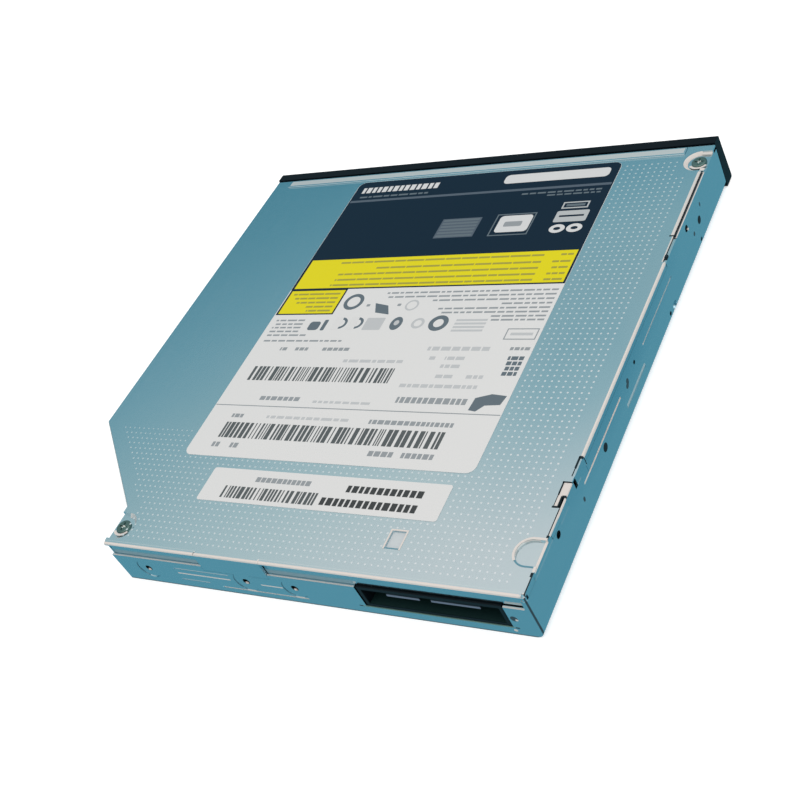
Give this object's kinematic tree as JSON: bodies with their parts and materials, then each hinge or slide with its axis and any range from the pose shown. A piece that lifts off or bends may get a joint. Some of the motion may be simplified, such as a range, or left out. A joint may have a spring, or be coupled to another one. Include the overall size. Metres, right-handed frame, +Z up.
{
  "type": "internal dvd writer",
  "caption": "Slim internal disc writer for portable computers: sheet steel case with a cut rear corner, sliding disc tray on telescoping rails, pickup mechanism and rear connector.",
  "frame": {"origin": "on the underside, below the spindle axis, at the middle of the case's width and depth", "axes": "+Z up to the labelled cover, +Y to the connector end, -Y out of the front where the tray opens"},
  "size_m": [0.128, 0.1303, 0.0127],
  "materials": {
    "case_steel": "satin zinc-plated sheet",
    "bright_steel": "bright ground steel",
    "screw_steel": "dark passivated screw",
    "black_steel": "black painted sheet",
    "label_paper": "printed film",
    "tray_plastic": "black moulded plastic",
    "bezel_plastic": "fine-grained black plastic",
    "guide_plastic": "pale slippery plastic",
    "board_green": "circuit board",
    "chip_black": "moulded chip",
    "connector_plastic": "black moulded connector",
    "contact_gold": "plated contact",
    "ribbon_film": "flat cable film",
    "damper_rubber": "soft rubber",
    "coil_copper": "enamelled copper",
    "cast_metal": "die cast",
    "lens_glass": "coated lens",
    "lamp_clear": "clear light pipe"
  },
  "bodies": {
    "chassis": {"base_shell": "case_steel", "top_cover": "case_steel", "product_label": "label_paper", "small_label": "label_paper", "cover_screws": "screw_steel", "main_board": "board_green", "board_screws": "screw_steel", "drive_connector": "connector_plastic", "connector_contacts": "contact_gold", "controller_chip": "chip_black", "driver_chip": "chip_black", "memory_chip": "chip_black", "board_capacitors": "contact_gold", "board_socket": "connector_plastic", "ribbon_cable": "ribbon_film", "left_guide": "guide_plastic", "right_guide": "guide_plastic", "lock_post": "bright_steel"},
    "left_rail": {"left_rail": "case_steel"},
    "right_rail": {"right_rail": "case_steel"},
    "tray": {"disc_tray": "tray_plastic", "tray_bottom_plate": "case_steel", "front_bezel": "bezel_plastic", "indicator_lens": "lamp_clear", "button_board": "board_green", "eject_switch": "chip_black", "latch_yoke": "bright_steel", "latch_coils": "coil_copper", "latch_spring": "bright_steel", "pusher_spring": "bright_steel", "mechanism_frame": "tray_plastic", "frame_dampers": "damper_rubber", "damper_screws": "screw_steel", "mechanism_cover": "black_steel", "motor_base": "bright_steel", "motor_stator": "coil_copper", "spindle_bearing": "contact_gold", "left_guide_rod": "bright_steel", "right_guide_rod": "bright_steel", "feed_motor": "case_steel", "feed_bracket": "case_steel", "tray_board": "board_green", "tray_socket": "connector_plastic"},
    "spindle": {"spindle_shaft": "bright_steel", "spindle_rotor": "case_steel", "friction_ring": "damper_rubber", "disc_hub": "bezel_plastic"},
    "claw_1": {"hub_claw_1": "guide_plastic"},
    "claw_2": {"hub_claw_2": "guide_plastic"},
    "claw_3": {"hub_claw_3": "guide_plastic"},
    "pickup": {"pickup_body": "cast_metal", "pickup_cover": "case_steel", "feed_nut": "guide_plastic"},
    "lens": {"lens_holder": "tray_plastic", "objective_lens": "lens_glass"},
    "feed_screw": {"lead_screw": "bright_steel"},
    "latch": {"latch_lever": "guide_plastic", "latch_armature": "bright_steel"},
    "pusher": {"pusher_rod": "guide_plastic"},
    "button": {"eject_button": "bezel_plastic"}
  },
  "joints": [
    {"name": "tray_slide", "type": "slide", "parent": "chassis", "child": "tray", "axis": [0, -1, 0], "range_m": [0, 0.123], "deforming": ["ribbon_cable"]},
    {"name": "left_rail_slide", "type": "slide", "parent": "chassis", "child": "left_rail", "axis": [0, -1, 0], "range_m": [0, 0.0615]},
    {"name": "right_rail_slide", "type": "slide", "parent": "chassis", "child": "right_rail", "axis": [0, -1, 0], "range_m": [0, 0.0615]},
    {"name": "spindle_spin", "type": "hinge", "parent": "tray", "child": "spindle", "pos_m": [0, 0, 0.0065], "axis": [0, 0, 1], "continuous": true},
    {"name": "claw_1_press", "type": "slide", "parent": "spindle", "child": "claw_1", "axis": [-1, 0, 0], "range_m": [0, 0.0005], "stiffness_N_per_m": 100},
    {"name": "claw_2_press", "type": "slide", "parent": "spindle", "child": "claw_2", "axis": [0.5, -0.866, 0], "range_m": [0, 0.0005], "stiffness_N_per_m": 100},
    {"name": "claw_3_press", "type": "slide", "parent": "spindle", "child": "claw_3", "axis": [0.5, 0.866, 0], "range_m": [0, 0.0005], "stiffness_N_per_m": 100},
    {"name": "pickup_slide", "type": "slide", "parent": "tray", "child": "pickup", "axis": [-0.7071, -0.7071, 0], "range_m": [0, 0.034]},
    {"name": "feed_screw_spin", "type": "hinge", "parent": "tray", "child": "feed_screw", "pos_m": [0.01838, -0.01838, 0.0043], "axis": [-0.7071, -0.7071, 0], "range_deg": [0, 4080]},
    {"name": "lens_focus", "type": "slide", "parent": "pickup", "child": "lens", "axis": [0, 0, 1], "range_m": [-0.0004, 0.0004], "stiffness_N_per_m": 60},
    {"name": "latch_turn", "type": "hinge", "parent": "tray", "child": "latch", "pos_m": [0.0305, -0.036, 0.0036], "axis": [0, 0, 1], "range_deg": [-14, 0], "stiffness_Nm_per_rad": 0.01, "deforming": ["latch_spring"]},
    {"name": "pusher_give", "type": "slide", "parent": "tray", "child": "pusher", "axis": [0, 1, 0], "range_m": [-0.001, 0], "stiffness_N_per_m": 200, "deforming": ["pusher_spring"]},
    {"name": "button_press", "type": "slide", "parent": "tray", "child": "button", "axis": [0, 1, 0], "range_m": [0, 0.0005], "stiffness_N_per_m": 400}
  ],
  "couplings": [
    {"joint": "left_rail_slide", "follows": "tray_slide", "ratio": 0.5},
    {"joint": "right_rail_slide", "follows": "tray_slide", "ratio": 0.5},
    {"joint": "feed_screw_spin", "follows": "pickup_slide", "rad_per_m": 2094.4}
  ]
}
